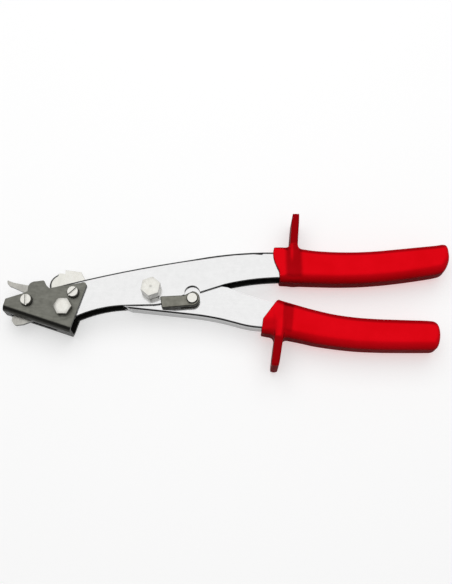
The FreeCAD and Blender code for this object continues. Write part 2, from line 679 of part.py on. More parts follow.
doc.recompute()
for item in doc.Objects:
    if "Invalid" in item.State or "Error" in item.State:
        raise RuntimeError(item.Name + " failed: " + str(item.State))
for node in NODES:
    shape = doc.getObjectsByLabel(node)[0].Shape
    if shape.isNull() or not shape.isValid() or not shape.Solids:
        raise RuntimeError(node + " has no valid solid")
    shape.exportStep("parts/%s.step" % node)
    box = shape.BoundBox
    print("%-14s solids %d volume %9.1f x %7.2f %7.2f y %7.2f %7.2f z %6.2f %6.2f" % (
        node, len(shape.Solids), shape.Volume, box.XMin, box.XMax, box.YMin, box.YMax, box.ZMin, box.ZMax))
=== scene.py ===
"""Looks of the hand nibbler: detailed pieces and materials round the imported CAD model.

X runs from the head to the grip ends, Y towards the upper grip, Z up out of the face with the
bolt heads. The tool lies on the floor at z = 0. The scene is in metres; the sizes of pieces are
written in millimetres.
"""

import json
import math

import bmesh
import bpy
import numpy as np
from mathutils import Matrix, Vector


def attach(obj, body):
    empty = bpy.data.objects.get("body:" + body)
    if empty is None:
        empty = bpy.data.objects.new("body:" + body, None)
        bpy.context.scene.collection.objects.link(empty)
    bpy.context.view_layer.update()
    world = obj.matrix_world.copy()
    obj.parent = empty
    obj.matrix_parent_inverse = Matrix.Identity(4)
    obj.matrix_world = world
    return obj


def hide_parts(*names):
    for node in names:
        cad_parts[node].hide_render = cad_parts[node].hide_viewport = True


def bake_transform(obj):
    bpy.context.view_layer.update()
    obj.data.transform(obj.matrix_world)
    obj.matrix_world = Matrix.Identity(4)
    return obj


MM = 0.001
MIDDLE = 11.4                   # height of the tool's middle plane, in millimetres
SHARP = 32.0                    # edges sharper than this, in degrees, are broken and stay hard

# A metal's painted shade goes by how squarely its surface faces along Z, from 1 on the broad faces
# to 0: folds, broken edges and sides are painted darker. Each pair is where a tone is full and
# where it is gone.
BEND_SHADE_SPAN = (0.94, 0.995)       # folds and broken edges
SIDE_SHADE_SPAN = (0.35, 0.60)        # sides
UNDER_SHADE_SPAN = (-0.38, 0.25)      # sides that lean down the picture
LEAN = 0.35                     # how much the lean along Y counts for the last two
UNDER_SHADE_SHARE = 0.55              # tone of the last ones, as a share of the sides'

# The grips' sizes, in millimetres.
CELL = 0.45                     # cell of the grid that the skin is drawn through
MARGIN = 2.5                    # space round a grip in that grid
DEPTH = 12.6                    # half depth of the grid
GRIP_HALF = 10.0                # half thickness of a grip
GUARD_HALF = 11.0               # half thickness of a guard
GUARD_THINNING = 3.2            # how much thinner each half of it gets where it runs into the rib
GUARD_ROUND = 1.7               # rounding of a guard's edges
GUARD_FILLET = 3.4              # fillet between a guard and its grip
TOP_ROUND = 4.0                 # rounding of a grip's upper edges
UNDER_ROUND = 6.8               # rounding of its lower edges
ROUND_SPAN = 9.0                # height over which one turns into the other
COLLAR_SLOPE = 0.26             # fall of the collar towards the lever

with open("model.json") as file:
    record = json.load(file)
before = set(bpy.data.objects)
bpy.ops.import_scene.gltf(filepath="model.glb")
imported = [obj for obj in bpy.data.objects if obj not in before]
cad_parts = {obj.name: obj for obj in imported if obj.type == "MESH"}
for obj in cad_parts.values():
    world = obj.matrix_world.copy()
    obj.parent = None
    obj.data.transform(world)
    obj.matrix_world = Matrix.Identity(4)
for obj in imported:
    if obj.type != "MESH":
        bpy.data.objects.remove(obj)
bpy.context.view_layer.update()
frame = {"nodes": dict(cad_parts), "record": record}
nodes = frame["nodes"]


# ---------------------------------------------------------------- node graph helpers
class Graph:
    """A material's node graph round one Principled shader."""

    def __init__(self, name):
        self.material = bpy.data.materials.new(name)
        self.material.use_nodes = True
        self.tree = self.material.node_tree
        self.shader = self.tree.nodes["Principled BSDF"]
        self.place = self.tree.nodes.new("ShaderNodeTexCoord").outputs["Object"]

    def node(self, kind, settings=None, **inputs):
        """A node with its settings and inputs; an input is a value or another node's output."""
        made = self.tree.nodes.new("ShaderNode" + kind)
        for key, value in (settings or {}).items():
            setattr(made, key, value)
        for key, value in inputs.items():
            self.put(made, key.replace("_", " "), value)
        return made

    def put(self, node, key, value):
        """Set a socket, or link an output to it."""
        socket = node.inputs[key]
        if isinstance(value, bpy.types.NodeSocket):
            self.tree.links.new(value, socket)
        else:
            socket.default_value = value

    def stretched(self, scale, turn=0.0):
        """Object coordinates turned about Z, then scaled along each axis."""
        mapping = self.node("Mapping", Vector=self.place, Rotation=(0, 0, turn), Scale=scale)
        return mapping.outputs["Vector"]

    def noise(self, scale, detail=3.0, roughness=0.5, vector=None):
        """Noise from 0 to 1; scale is in cells a metre."""
        made = self.node("TexNoise", Vector=vector or self.place, Scale=scale, Detail=detail,
                         Roughness=roughness)
        return made.outputs["Fac"]

    def spread(self, value, low, high, from_low=0.3, from_high=0.7):
        """A 0 to 1 pattern mapped on to a range."""
        made = self.node("MapRange", {"clamp": True}, Value=value)
        limits = {"From Min": from_low, "From Max": from_high, "To Min": low, "To Max": high}
        for key, number in limits.items():
            made.inputs[key].default_value = number
        return made.outputs["Result"]

    def blend(self, factor, first, second):
        """Mix of two colours."""
        made = self.node("Mix", {"data_type": "RGBA"})
        colour_sockets = [s for s in made.inputs if s.type == "RGBA"]
        self.put(made, "Factor", factor)
        for socket, colour in zip(colour_sockets, (first, second)):
            if isinstance(colour, bpy.types.NodeSocket):
                self.tree.links.new(colour, socket)
            else:
                socket.default_value = (*colour, 1.0)
        return [s for s in made.outputs if s.type == "RGBA"][0]

    def across(self, tilt=0.0):
        """How squarely the surface faces along Z: 1 on the broad faces, 0 on the sides.

        tilt raises it for faces that lean up the picture and lowers it for those that lean down.
        """
        normal = self.tree.nodes.new("ShaderNodeTexCoord").outputs["Normal"]
        parts = self.node("SeparateXYZ", Vector=normal)
        size = self.node("Math", {"operation": "ABSOLUTE"})
        self.tree.links.new(parts.outputs["Z"], size.inputs[0])
        total = self.node("Math", {"operation": "MULTIPLY_ADD"})
        self.tree.links.new(parts.outputs["Y"], total.inputs[0])
        total.inputs[1].default_value = tilt
        self.tree.links.new(size.outputs["Value"], total.inputs[2])
        return total.outputs["Value"]

    def bump(self, *layers):
        """Bumps on the shader, each layer (height pattern, depth in metres)."""
        normal = None
        for height, depth in layers:
            made = self.node("Bump", Height=height, Distance=depth)
            if normal is not None:
                self.put(made, "Normal", normal)
            normal = made.outputs["Normal"]
        self.put(self.shader, "Normal", normal)

    def shade(self, **inputs):
        """Sockets of the Principled shader."""
        for key, value in inputs.items():
            self.put(self.shader, key.replace("_", " "), value)
        return self.material


# ---------------------------------------------------------------- materials
def brushed_metal(name, face, worn, bend_shade, side, roughness, grain, depth, lighter_from=None):
    """Metal with a directional grain, soft stains, a varying gloss and painted shade.

    face and worn are the two tones of the broad faces. bend_shade is painted shade on folds and
    broken edges, standing in for their dark reflections; side is painted shade on the faces between
    them, and sides that lean down the picture get a darker share of it. grain is the pattern's
    cells a metre along X, Y and Z, depth its height in metres. lighter_from is a range of X, in
    metres, and the tone that the broad faces take on over it and keep beyond.
    """
    graph = Graph(name)
    lines = graph.noise(1.0, 4.0, 0.6, graph.stretched(grain))
    stains = graph.noise(260.0, 5.0, 0.55)
    tint = graph.blend(graph.spread(stains, 0.0, 1.0, 0.35, 0.75), face, worn)
    # the broad faces turn to a lighter tone past a range of X
    if lighter_from:
        start, end, tone = lighter_from
        along = graph.node("SeparateXYZ", Vector=graph.place).outputs["X"]
        tint = graph.blend(graph.spread(along, 0.0, 1.0, start, end), tint, tone)
    square = graph.across()
    # painted shade: folds and broken edges turn to the dark bend_shade tone
    tint = graph.blend(graph.spread(square, 1.0, 0.0, *BEND_SHADE_SPAN), tint, bend_shade)
    leaning = graph.across(LEAN)
    # painted shade: sides turn to the side tone
    tint = graph.blend(graph.spread(leaning, 1.0, 0.0, *SIDE_SHADE_SPAN), tint, side)
    # painted shade: sides that lean down the picture turn darker still
    under = tuple(UNDER_SHADE_SHARE * part for part in side)
    tint = graph.blend(graph.spread(leaning, 1.0, 0.0, *UNDER_SHADE_SPAN), tint, under)
    gloss = graph.spread(lines, roughness * 0.75, roughness * 1.35)
    graph.bump((lines, depth), (graph.noise(90.0, 2.0), depth * 3))
    return graph.shade(Base_Color=tint, Metallic=1.0, Roughness=gloss)


def moulded_plastic(name, colour, deep, shadowed):
    """Moulded plastic with a fine pebble and a faint cloudiness; the tone attribute mixes in
    painted shade and highlight.
    """
    graph = Graph(name)
    clouds = graph.noise(70.0, 3.0)
    pebble = graph.noise(2600.0, 2.0, 0.4)
    tint = graph.blend(graph.spread(clouds, 0.0, 1.0), colour, deep)
    tone = graph.node("Attribute", {"attribute_name": "tone"}).outputs["Fac"]
    # painted shade: the tone attribute mixes in the shadowed colour
    tint = graph.blend(tone, tint, shadowed)
    gloss = graph.spread(graph.noise(300.0, 3.0), 0.34, 0.46)
    graph.bump((pebble, 0.00002), (graph.noise(45.0, 1.0), 0.0002))
    return graph.shade(Base_Color=tint, Roughness=gloss, Specular_IOR_Level=0.004)


MATERIALS = {
    "lever_chrome": brushed_metal(
        "bright_chrome", face=(0.86, 0.86, 0.86), worn=(0.82, 0.82, 0.82),
        bend_shade=(0.035, 0.035, 0.035), side=(0.58, 0.58, 0.58),
        roughness=0.16, grain=(60, 900, 900), depth=0.000004),
    "dark_steel": brushed_metal(
        "gunmetal", face=(0.235, 0.235, 0.205), worn=(0.19, 0.19, 0.165),
        bend_shade=(0.03, 0.03, 0.027), side=(0.048, 0.048, 0.042),
        roughness=0.42, grain=(300, 900, 900), depth=0.00001),
    "tool_steel": brushed_metal(
        "ground_steel", face=(0.53, 0.52, 0.48), worn=(0.42, 0.41, 0.38),
        bend_shade=(0.07, 0.07, 0.065), side=(0.20, 0.20, 0.19),
        roughness=0.30, grain=(900, 200, 900), depth=0.000008,
        lighter_from=(-0.070, -0.064, (0.84, 0.83, 0.77))),
    "bright_steel": brushed_metal(
        "zinc_plate", face=(0.86, 0.85, 0.80), worn=(0.78, 0.76, 0.70),
        bend_shade=(0.36, 0.35, 0.32), side=(0.20, 0.20, 0.18),
        roughness=0.28, grain=(700, 700, 700), depth=0.00001),
    # painted light: a copy of zinc_plate with much lighter painted folds and sides, for the pivot
    # bolt's head
    "zinc_lit_sides": brushed_metal(
        "zinc_plate_lit_sides", face=(0.88, 0.87, 0.82), worn=(0.80, 0.78, 0.72),
        bend_shade=(0.62, 0.61, 0.57), side=(0.66, 0.65, 0.61),
        roughness=0.28, grain=(700, 700, 700), depth=0.00001),
    "plain_steel": brushed_metal(
        "turned_steel", face=(0.56, 0.56, 0.55), worn=(0.42, 0.42, 0.41),
        bend_shade=(0.30, 0.30, 0.30), side=(0.36, 0.36, 0.36),
        roughness=0.30, grain=(300, 300, 2400), depth=0.000008),
    "latch_steel": brushed_metal(
        "phosphated_steel", face=(0.29, 0.285, 0.245), worn=(0.21, 0.207, 0.175),
        bend_shade=(0.03, 0.03, 0.025), side=(0.06, 0.06, 0.05),
        roughness=0.45, grain=(500, 500, 500), depth=0.00002),
    "spring_steel": brushed_metal(
        "drawn_wire", face=(0.34, 0.34, 0.34), worn=(0.22, 0.22, 0.22),
        bend_shade=(0.26, 0.26, 0.26), side=(0.20, 0.20, 0.20),
        roughness=0.35, grain=(600, 600, 600), depth=0.00001),
    # painted shade: near black, for the insides of channels and for cut edges and bevels facing
    # down
    "unplated_inside": brushed_metal(
        "painted_channel_shade", face=(0.035, 0.035, 0.033), worn=(0.02, 0.02, 0.019),
        bend_shade=(0.03, 0.03, 0.03), side=(0.03, 0.03, 0.03),
        roughness=0.5, grain=(400, 400, 400), depth=0.00002),
    "red_grip": moulded_plastic(
        "red_plastic", colour=(0.94, 0.003, 0.010), deep=(0.86, 0.002, 0.007),
        shadowed=(0.08, 0.001, 0.002)),
}


# ---------------------------------------------------------------- pieces from the CAD meshes
SLOTS = {row["node"]: row["material_slot"] for row in frame["record"]["subparts"]}
BODIES = {node: body for body, rows in frame["record"]["behaviour"]["bodies"].items()
          for node in rows}


def install(piece, node, finish=None):
    """Show a piece in place of a CAD node, on its body and in its slot's finish or another."""
    piece.data.materials.clear()
    piece.data.materials.append(MATERIALS[finish or SLOTS[node]])
    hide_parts(node)
    if node == "return_spring":
        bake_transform(piece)
    else:
        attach(piece, BODIES[node])


def as_object(name, mesh):
    """A scene object that shows a mesh."""
    thing = bpy.data.objects.new(name, mesh)
    bpy.context.scene.collection.objects.link(thing)
    return thing


def smooth_shaded(mesh, angle=SHARP):
    """Shade smooth, with edges sharper than the angle left hard."""
    mesh.shade_smooth()
    mesh.set_sharp_from_angle(angle=math.radians(angle))


def apply_modifiers(piece):
    """Give the piece the mesh that its modifiers make, and take them off."""
    graph = bpy.context.evaluated_depsgraph_get()
    baked = bpy.data.meshes.new_from_object(piece.evaluated_get(graph))
    piece.modifiers.clear()
    piece.data = baked


def from_cad(node, edge, segments=2, rolled=None, roll=1.0, inside=None):
    """Copy of a CAD node with clean faces, broken edges and smooth shading.

    edge is the width of the broken edges, in millimetres, and segments how many steps they have.
    rolled tells from an edge's middle whether it gets the larger rounding, roll. inside tells from
    a face's middle and normal whether the face gets the near-black painted shade.
    """
    sharp = math.radians(SHARP)
    mesh = nodes[node].data.copy()
    mesh.name = node + "_finished"
    work = bmesh.new()
    work.from_mesh(mesh)
    bmesh.ops.remove_doubles(work, verts=work.verts, dist=2e-6)
    bmesh.ops.dissolve_limit(work, angle_limit=math.radians(0.6), verts=work.verts,
                             edges=work.edges, delimit={"NORMAL"})
    if rolled:
        picked = [line for line in work.edges
                  if len(line.link_faces) == 2 and line.calc_face_angle(0.0) > sharp
                  and rolled((line.verts[0].co + line.verts[1].co) / 2 / MM)]
        bmesh.ops.bevel(work, geom=picked, offset=roll * MM, segments=5, profile=0.5,
                        affect="EDGES")
    work.to_mesh(mesh)
    work.free()
    if "custom_normal" in mesh.attributes:
        mesh.attributes.remove(mesh.attributes["custom_normal"])
    piece = as_object(node + "_finished", mesh)
    bevel = piece.modifiers.new("broken_edges", "BEVEL")
    bevel.width = edge * MM
    bevel.segments = segments
    bevel.limit_method = "ANGLE"
    bevel.angle_limit = sharp
    apply_modifiers(piece)
    smooth_shaded(piece.data)
    even = piece.modifiers.new("even_normals", "WEIGHTED_NORMAL")
    even.keep_sharp = True
    even.weight = 100
    apply_modifiers(piece)
    install(piece, node)
    # the faces that inside picks get the near-black painted shade
    if inside:
        piece.data.materials.append(MATERIALS["unplated_inside"])
        for face in piece.data.polygons:
            face.material_index = int(inside(face.center / MM, face.normal))


# ---------------------------------------------------------------- turned and formed hardware
def mesh_object(name, points, faces, angle=SHARP):
    """Object from points in millimetres and faces, with outward normals."""
    mesh = bpy.data.meshes.new(name)
    mesh.from_pydata([tuple(c * MM for c in point) for point in points], [], faces)
    work = bmesh.new()
    work.from_mesh(mesh)
    bmesh.ops.recalc_face_normals(work, faces=work.faces)
    work.to_mesh(mesh)
    work.free()
    smooth_shaded(mesh, angle)
    return as_object(name, mesh)


def lathe(levels, steps):
    """Closed skin through levels, each a pair of functions of the angle: reach and height."""
    points = []
    for reach, height in levels:
        for k in range(steps):
            turn = 2 * math.pi * k / steps
            far_out = reach(turn)
            points.append((far_out * math.cos(turn), far_out * math.sin(turn), height(turn)))
    faces = []
    for row in range(len(levels) - 1):
        for k in range(steps):
            ahead = (k + 1) % steps
            near = row * steps
            far = near + steps
            faces.append((near + k, near + ahead, far + ahead, far + k))
    faces.append(tuple(range(steps - 1, -1, -1)))
    last = (len(levels) - 1) * steps
    faces.append(tuple(last + k for k in range(steps)))
    return points, faces


def bolt(node, x, y, seat, top, turn, flats, crown, dimple, finish=None):
    """Hexagon bolt: crowned head with scalloped corners, washer face, and shank with a turned end.

    seat and top are the heights of the head's underside and crown, turn the hexagon's angle,
    crown how far the corners fall below the top, dimple the depth of the mark in the middle.
    """
    shank = 3.0
    washer_face = flats * 0.5 - 0.5
    corner = flats / math.sqrt(3)
    flat_share = 0.42           # of the corner's distance, within which the top is level

    def hexagon(limit):
        """Distance to the hexagon's side at an angle, no more than the limit."""
        def at(angle):
            local = (angle - math.radians(turn)) % (math.pi / 3) - math.pi / 6
            return min(flats / 2 / math.cos(local), limit)
        return at

    def level(value):
        """The same value at every angle."""
        return lambda angle: value

    def fall(reach):
        """Drop of the crown below the top at a distance from the axis."""
        return crown * (max(reach - flat_share * corner, 0.0) / ((1 - flat_share) * corner)) ** 1.7

    rim = hexagon(corner)
    levels = [(level(shank - 0.8), level(0.0)), (level(shank), level(0.8)),
              (level(shank), level(seat)), (level(washer_face - 0.25), level(seat)),
              (level(washer_face), level(seat + 0.15)), (level(washer_face), level(seat + 0.55)),
              (hexagon(flats * 0.53), level(seat + 0.6)), (rim, level(seat + 1.0)),
              (rim, lambda angle: top - fall(rim(angle)) - 0.16)]
    for share in (0.97, 0.88, 0.78, 0.66, 0.54, flat_share):
        levels.append((lambda angle, share=share: share * rim(angle),
                       lambda angle, share=share: top - fall(share * rim(angle))))
    levels += [(level(0.75), level(top - 0.02)), (level(0.45), level(top - dimple * 0.6)),
               (level(0.12), level(top - dimple))]
    points, faces = lathe(levels, 96)
    points = [(x + px, y + py, pz) for px, py, pz in points]
    install(mesh_object(node + "_turned", points, faces, angle=24.0), node, finish)


def split_washers(node, places, inner, outer, thick):
    """Spring washers: rings cut through, with the two ends a little apart.

    Each place is the middle's X and Y, the bottom's height and the cut's angle.
    """
    steps = 60
    cut = 10.0                  # degrees left out of the ring
    rise = 0.16                 # of one end over the other
    section = ((inner, 0.08), (inner + 0.15, 0.0), (outer - 0.2, 0.0), (outer, 0.2),
               (outer, thick - 0.2), (outer - 0.2, thick), (inner + 0.15, thick),
               (inner, thick - 0.08))
    corners = len(section)
    points = []
    faces = []
    for x, y, bottom, gap in places:
        base = len(points)
        for k in range(steps + 1):
            turn = math.radians(gap + cut / 2 + (360.0 - cut) * k / steps)
            for reach, height in section:
                level = bottom + rise * k / steps + height * (thick - rise) / thick
                points.append((x + reach * math.cos(turn), y + reach * math.sin(turn), level))
        for k in range(steps):
            near = base + k * corners
            far = near + corners
            for j in range(corners):
                ahead = (j + 1) % corners
                faces.append((near + j, near + ahead, far + ahead, far + j))
        faces.append(tuple(base + j for j in range(corners)))
        faces.append(tuple(base + steps * corners + j for j in reversed(range(corners))))
    install(mesh_object(node + "_split", points, faces), node)


def spring():
    """Torsion spring wound round the bush, with a straight leg at each end."""
    radius = 4.55
    wire_radius = 0.45
    pitch = 0.92
    meet = -11.2                # direction of the leg on the stop pin, in degrees
    leave = -31.5               # direction of the leg in the lower lever
    turns = 4.0 + (leave - meet) / 360
    width = pitch * turns
    first = math.radians(meet - 90)
    steps = 96
    coil = []
    for k in range(steps + 1):
        turn = first + 2 * math.pi * turns * k / steps
        height = width * (k / steps - 0.5)
        coil.append(Vector((radius * math.cos(turn), radius * math.sin(turn), height)))
    way_in = (coil[1] - coil[0]).normalized()
    way_out = (coil[-1] - coil[-2]).normalized()
    stop_leg = [coil[0] - way_in * reach for reach in (17.0, 8.0)]
    lever_leg = [coil[-1] + way_out * reach for reach in (8.0, 15.5)]
    line = stop_leg + coil + lever_leg
    data = bpy.data.curves.new("spring_wire", "CURVE")
    data.dimensions = "3D"
    data.bevel_depth = wire_radius * MM
    data.bevel_resolution = 4
    data.use_fill_caps = True
    wire = data.splines.new("POLY")
    wire.points.add(len(line) - 1)
    for point, place in zip(wire.points, line):
        point.co = (place.x * MM, place.y * MM, (place.z + MIDDLE) * MM, 1.0)
    source = bpy.data.objects.new("spring_line", data)
    mesh = bpy.data.meshes.new_from_object(source)
    bpy.data.objects.remove(source)
    smooth_shaded(mesh, 50.0)
    install(as_object("return_spring_wound", mesh), "return_spring")


# ---------------------------------------------------------------- moulded grips
def through(points, closed=False):
    """Points along a curve through the given ones."""
    count = len(points)
    line = []
    spans = count if closed else count - 1
    for k in range(spans):
        if closed:
            around = [points[(k + j) % count] for j in (-1, 0, 1, 2)]
        else:
            around = [points[min(max(k + j, 0), count - 1)] for j in (-1, 0, 1, 2)]
        a, b, c, d = (np.array(point, dtype=float) for point in around)
        for share in np.linspace(0.0, 1.0, 6, endpoint=False):
            line.append(0.5 * (2 * b + (c - a) * share + (2 * a - 5 * b + 4 * c - d) * share ** 2
                               + (3 * b - a - 3 * c + d) * share ** 3))
    if not closed:
        line.append(np.array(points[-1], dtype=float))
    return line


def signed_distance(x, y, ring):
    """Distance to a closed outline over a grid, negative inside."""
    ring = np.array(ring)
    nearest = np.full(x.shape, 1e9)
    inside = np.zeros(x.shape, dtype=bool)
    for (ax, ay), (bx, by) in zip(ring, np.roll(ring, -1, axis=0)):
        dx = bx - ax
        dy = by - ay
        along = np.clip(((x - ax) * dx + (y - ay) * dy) / max(dx * dx + dy * dy, 1e-12), 0.0, 1.0)
        nearest = np.minimum(nearest, (x - ax - along * dx) ** 2 + (y - ay - along * dy) ** 2)
        if dy != 0:
            inside ^= ((ay > y) != (by > y)) & (x < ax + (y - ay) * dx / dy)
    return np.where(inside, -np.sqrt(nearest), np.sqrt(nearest))


def slab(flat, depth, half, radius):
    """Distance field of an outline given a thickness, with rounded edges."""
    beside = flat + radius
    above = depth - half + radius
    outer = np.hypot(np.maximum(beside, 0.0), np.maximum(above, 0.0))
    return outer + np.minimum(np.maximum(beside, above), 0.0) - radius


def soft_union(first, second, reach):
    """Union of two fields with a fillet between them."""
    share = np.clip(0.5 + 0.5 * (second - first) / reach, 0.0, 1.0)
    return second * (1 - share) + first * share - reach * share * (1 - share)


def soft_overlap(first, second, reach):
    """Intersection of two fields with a rounded edge between them."""
    return -soft_union(-first, -second, reach)


def ease(value, low, high):
    """Smooth step from 0 at low to 1 at high."""
    share = np.clip((value - low) / (high - low), 0.0, 1.0)
    return share * share * (3 - 2 * share)


def skin(field, corner, step):
    """Surface of a field's inside as points and quads, one point in each cell that it crosses."""
    solid = field < 0
    cells = tuple(n - 1 for n in field.shape)
    total = np.zeros((*cells, 3))
    count = np.zeros(cells)
    for axis in range(3):
        low = [slice(None)] * 3
        high = [slice(None)] * 3
        low[axis] = slice(None, -1)
        high[axis] = slice(1, None)
        low = tuple(low)
        high = tuple(high)
        change = solid[low] != solid[high]
        share = np.where(change, field[low] / np.where(change, field[low] - field[high], 1.0), 0.0)
        others = [a for a in range(3) if a != axis]
        for i in (0, 1):
            for j in (0, 1):
                pick = [slice(None)] * 3
                pick[others[0]] = slice(i, i + cells[others[0]])
                pick[others[1]] = slice(j, j + cells[others[1]])
                here = change[tuple(pick)]
                count += here
                total[..., axis] += np.where(here, share[tuple(pick)], 0.0)
                total[..., others[0]] += here * i
                total[..., others[1]] += here * j
    used = count > 0
    index = np.full(cells, -1)
    index[used] = np.arange(int(used.sum()))
    where = np.argwhere(used)
    points = (where + total[used] / count[used][:, None]) * step + np.array(corner)
    quads = []
    for axis in range(3):
        low = [slice(1, -1)] * 3
        high = [slice(1, -1)] * 3
        low[axis] = slice(None, -1)
        high[axis] = slice(1, None)
        change = solid[tuple(low)] != solid[tuple(high)]
        at = np.argwhere(change)
        outward = solid[tuple(low)][change]
        at = at + np.array([0 if a == axis else 1 for a in range(3)])
        others = [(axis + 1) % 3, (axis + 2) % 3]
        ring = []
        for i, j in ((0, 0), (1, 0), (1, 1), (0, 1)):
            cell = at.copy()
            cell[:, others[0]] -= 1 - i
            cell[:, others[1]] -= 1 - j
            ring.append(index[cell[:, 0], cell[:, 1], cell[:, 2]])
        ring = np.stack(ring, axis=1)
        ring[~outward] = ring[~outward][:, ::-1]
        quads.append(ring)
    return points, np.concatenate(quads)


def paint_grip_shade(mesh, outline, valley_shade, ridge_highlight, collar_shade):
    """The tone attribute: how much painted shade darkens the red on the sides, on the guard and
    beside its rib.

    valley_shade is the middle line of the painted shade band beside the rib, as (Y, X) pairs, its
    half width and how far it darkens. ridge_highlight is a paler painted highlight line in it: its
    pairs, how much paler, and the heights over which it sets in. collar_shade is a corner of the
    collar that gets painted shade too: its X and Y ranges, and how far.
    """
    ridge_width = 0.9
    deepest = 0.93
    count = len(mesh.vertices)
    places = np.empty(count * 3)
    normals = np.empty(count * 3)
    mesh.vertices.foreach_get("co", places)
    mesh.vertex_normals.foreach_get("vector", normals)
    x, y, z = (places.reshape(-1, 3) / MM).T
    square = np.abs(normals.reshape(-1, 3)[:, 2])
    lean = normals.reshape(-1, 3)[:, 1]
    # painted shade: the lower sides darken the more they face down and away
    below = np.interp(square, (0.0, 0.365, 0.588, 0.743, 0.857, 0.93),
                      (deepest, 0.58, 0.38, 0.26, 0.15, 0.0))
    sides = np.maximum(below * (lean < 0.5), 0.60 * ease(lean, 0.0, 0.5))
    # painted shade on the guard, outside the grip's outline
    beyond = 0.66 * ease(signed_distance(x, y, outline), 0.3, 2.5)
    middle, width, depth = valley_shade
    # painted shade band beside the rib, with a paler painted highlight line in it
    offset = x - np.interp(y, *zip(*middle))
    shade_and_highlight = depth * ease(np.abs(offset), width, width * 0.55)
    crest, height, span = ridge_highlight
    aside = (x - np.interp(y, *zip(*crest))) / ridge_width
    shade_and_highlight -= height * np.exp(-aside ** 2) * ease(y, *span)
    shade_and_highlight = np.where(beyond > 0.3, 0.0, shade_and_highlight * ease(square, 0.6, 0.95))
    tone = np.maximum(sides, beyond)
    # painted shade in a corner of the collar
    if collar_shade:
        x_span, y_span, dimming = collar_shade
        tone = np.maximum(tone, dimming * ease(x, *x_span) * ease(y, *y_span) * (beyond < 0.1))
    tone = np.clip(tone + np.maximum(shade_and_highlight, 0.0), 0.0, deepest)
    mesh.attributes.new("tone", "FLOAT", "POINT").data.foreach_set("value", tone)


def grip(node, outline, left_end, collar, guard, cavity, half_cavity, under, rib, valley_shade, ridge_highlight,
         collar_shade=None):
    """Moulded grip as one skin: rounded body, sloped collar, guard running into a rib, pocket.

    left_end, collar and under are lines as pairs: (Y, X) for the first two, (X, Y) for under,
    the line of the grip's lower edge. rib is the two heights between which the guard thins.
    """
    outline = np.array(outline)
    heights = [*outline[:, 1], *(height for _, height in guard)]
    corner = np.array([outline[:, 0].min() - MARGIN, min(heights) - MARGIN, -DEPTH])
    far = np.array([outline[:, 0].max() + MARGIN, max(heights) + MARGIN, DEPTH])
    counts = np.ceil((far - corner) / CELL).astype(int) + 1
    xs, ys, zs = (corner[a] + CELL * np.arange(counts[a]) for a in range(3))
    x, y = np.meshgrid(xs, ys, indexing="ij")
    depth = np.abs(zs)[None, None, :]
    flat = signed_distance(x, y, outline)[..., None]
    upper_share = ease(y - np.interp(x, *zip(*under)), 0.0, ROUND_SPAN)[..., None]
    radius = UNDER_ROUND + (TOP_ROUND - UNDER_ROUND) * upper_share
    body = slab(flat, depth, GRIP_HALF, radius)
    end = (np.interp(y, *zip(*left_end)) - x)[..., None]
    body = soft_overlap(body, end, 0.5)
    slope = depth - (GRIP_HALF - COLLAR_SLOPE * (np.interp(y, *zip(*collar)) - x))[..., None]
    body = soft_overlap(body, slope * 0.97, 0.4)
    wing = signed_distance(x, y, through(guard, closed=True))[..., None]
    half = GUARD_HALF - GUARD_THINNING * ease(y, *rib)[..., None]
    body = soft_union(body, slab(wing, depth, half, GUARD_ROUND), GUARD_FILLET)
    pocket = np.maximum(signed_distance(x, y, cavity)[..., None], depth - half_cavity)
    body = np.maximum(body, -pocket)
    points, quads = skin(body, corner, CELL)
    mesh = bpy.data.meshes.new(node + "_moulded")
    points[:, 2] += MIDDLE
    mesh.from_pydata((points * MM).tolist(), [], quads.tolist())
    smooth_shaded(mesh, 55.0)
    paint_grip_shade(mesh, outline, valley_shade, ridge_highlight, collar_shade)
    install(as_object(node + "_moulded", mesh), node)


# ---------------------------------------------------------------- sheet metal and small parts
def within(half, web):
    """Test for faces inside a channel of that inner half width, whose web faces web along Y."""
    return lambda middle, normal: abs(middle.z - MIDDLE) < half + 0.05 and normal.y * web < 0.2


def unplated(middle, normal):
    """The upper lever's inside and its cut edges along the bottom, which get near-black painted
    shade.
    """
    return within(4.6, 1.0)(middle, normal) or normal.y < -0.3


from_cad("upper_lever", 0.35, inside=unplated, roll=1.75,
         rolled=lambda middle: middle.x < 27.2 and middle.y > 0.18 * middle.x + 8.0
         and abs(abs(middle.z - MIDDLE) - 6.4) < 0.01)
from_cad("lower_lever", 0.35, inside=within(2.85, -1.0))
from_cad("die_holder", 0.4, 3, inside=within(6.4, -1.0))
from_cad("latch", 0.9, 3)
from_cad("blade", 0.3, roll=1.8,
         rolled=lambda middle: -66.0 < middle.x < -60.0 and middle.y > 1.5 and middle.z > MIDDLE)
for node in ("front_link", "rear_link"):
    from_cad(node, 0.35)
for node in ("front_die", "rear_die", "pivot_washer", "pivot_nut", "head_nut", "holder_nut",
             "latch_ring", "die_screws", "holder_screw"):
    from_cad(node, 0.18)
for node in ("pivot_bush", "blade_spacers", "holder_tube", "blade_pin", "arm_pin", "stop_pin"):
    from_cad(node, 0.15)
# painted shade: the latch pin head's rim gets the near-black shade, a dark ring round its face
from_cad("latch_pin", 0.7, 4,
         inside=lambda middle, normal: middle.z > 20.6 and abs(normal.z) < 0.985)
# the pivot bolt's head takes the lighter painted copy of zinc plate
bolt("pivot_bolt", 0.0, 0.0, seat=17.8, top=26.2, turn=20.0, flats=11.0, crown=0.5, dimple=0.25,
     finish="zinc_lit_sides")
bolt("head_bolt", -53.8, -11.6, seat=19.6, top=23.6, turn=0.0, flats=10.0, crown=0.6, dimple=0.08)
split_washers("lock_washers", places=((-76.6, -7.2, 19.6, 200.0), (-48.1, -2.2, 19.6, 250.0),
                                      (-76.6, -7.2, 2.3, 70.0)), inner=2.15, outer=3.8, thick=0.9)
spring()

